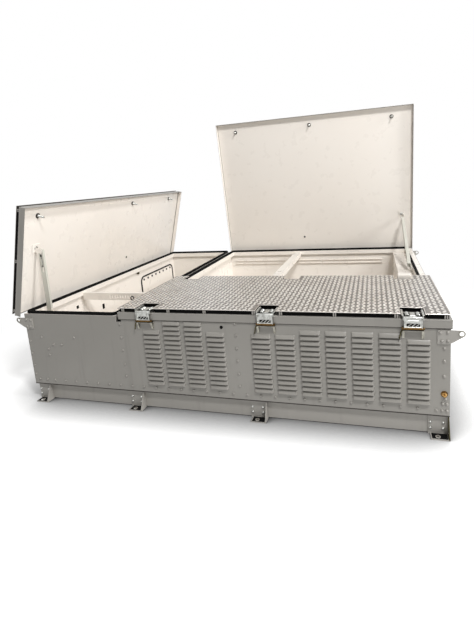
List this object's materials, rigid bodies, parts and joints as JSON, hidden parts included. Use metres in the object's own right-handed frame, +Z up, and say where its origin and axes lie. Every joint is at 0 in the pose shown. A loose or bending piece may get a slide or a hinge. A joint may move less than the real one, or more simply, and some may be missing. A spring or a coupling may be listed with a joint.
{
  "type": "electrical cabinet",
  "caption": "Low wide outdoor electrical cabinet with louvred front, open hinged lids with tread plates, a fixed front cover with draw latches, stays and lifting lugs.",
  "frame": {"origin": "on the ground, at the centre of the four corner foot holes, which is under the middle of the body", "axes": "+X along the louvred front to the right as seen from the front, +Y from the front to the rear, +Z up"},
  "size_m": [3.152, 2.6169, 2.2539],
  "materials": {
    "grey_enamel": "satin grey enamel",
    "white_enamel": "cream white enamel",
    "seal_rubber": "matt black foam rubber",
    "tread_plate": "bare tread plate",
    "zinc_steel": "zinc plated",
    "brass": "plain brass"
  },
  "bodies": {
    "root": {"front_base_rail": "grey_enamel", "rear_base_rail": "grey_enamel", "left_base_rail": "grey_enamel", "right_base_rail": "grey_enamel", "front_feet": "grey_enamel", "rear_feet": "grey_enamel", "floor_plate": "white_enamel", "front_wall": "grey_enamel", "rear_wall": "grey_enamel", "left_wall": "grey_enamel", "right_wall": "grey_enamel", "valley_plate": "grey_enamel", "partition": "white_enamel", "left_rim": "white_enamel", "front_rim": "white_enamel", "rear_rim": "white_enamel", "left_seal": "seal_rubber", "front_seal": "seal_rubber", "rear_seal": "seal_rubber", "front_cover": "grey_enamel", "front_tread_plate": "tread_plate", "front_cover_tabs": "grey_enamel", "left_hinges": "zinc_steel", "rear_hinges": "zinc_steel", "left_stay_foot": "white_enamel", "rear_stay_foot": "white_enamel", "cross_beam": "white_enamel", "left_cross_member": "white_enamel", "wall_rails": "white_enamel", "duct_wall": "white_enamel", "gland_plate": "white_enamel", "gland_seal": "seal_rubber", "front_lugs": "grey_enamel", "rear_lugs": "grey_enamel", "latch_cups": "zinc_steel", "latch_keepers": "grey_enamel", "earth_stud": "brass"},
    "left_lid": {"left_lid": "white_enamel", "left_lid_tread_plate": "tread_plate", "left_lid_tabs": "grey_enamel", "left_lid_studs": "zinc_steel", "left_lid_hinges": "zinc_steel", "left_stay_bracket": "white_enamel"},
    "rear_lid": {"rear_lid": "white_enamel", "rear_lid_tread_plate": "tread_plate", "rear_lid_tabs": "grey_enamel", "rear_lid_studs": "zinc_steel", "rear_lid_hinges": "zinc_steel", "rear_stay_bracket": "white_enamel"},
    "left_stay": {"left_stay": "zinc_steel"},
    "rear_stay": {"rear_stay": "white_enamel"},
    "left_latch": {"left_latch_lever": "zinc_steel", "left_latch_bar": "brass"},
    "middle_latch": {"middle_latch_lever": "zinc_steel", "middle_latch_bar": "brass"},
    "right_latch": {"right_latch_lever": "zinc_steel", "right_latch_bar": "brass"}
  },
  "joints": [
    {"name": "left_lid_hinge", "type": "hinge", "parent": "root", "child": "left_lid", "pos_m": [-1.512, 0, 0.705], "axis": [0, 1, 0], "range_deg": [0, 75.4]},
    {"name": "rear_lid_hinge", "type": "hinge", "parent": "root", "child": "rear_lid", "pos_m": [0, 1.262, 0.705], "axis": [1, 0, 0], "range_deg": [0, 83.1]},
    {"name": "left_stay_pivot", "type": "hinge", "parent": "root", "child": "left_stay", "pos_m": [-1.374, -1.125, 0.662], "axis": [0, 1, 0], "range_deg": [0, 85.94]},
    {"name": "rear_stay_pivot", "type": "hinge", "parent": "rear_lid", "child": "rear_stay", "pos_m": [1.41, 1.1944, 1.08463], "axis": [1, 0, 0], "range_deg": [-106.38, 0]},
    {"name": "left_latch_pivot", "type": "hinge", "parent": "root", "child": "left_latch", "pos_m": [-0.458, -1.2685, 0.746], "axis": [-1, 0, 0], "range_deg": [0, 110]},
    {"name": "middle_latch_pivot", "type": "hinge", "parent": "root", "child": "middle_latch", "pos_m": [0.414, -1.2685, 0.746], "axis": [-1, 0, 0], "range_deg": [0, 110]},
    {"name": "right_latch_pivot", "type": "hinge", "parent": "root", "child": "right_latch", "pos_m": [1.296, -1.2685, 0.746], "axis": [-1, 0, 0], "range_deg": [0, 110]}
  ],
  "couplings": [
    {"joint": "left_stay_pivot", "follows": "left_lid_hinge", "ratio": 1.1397},
    {"joint": "rear_stay_pivot", "follows": "rear_lid_hinge", "ratio": -1.28}
  ]
}
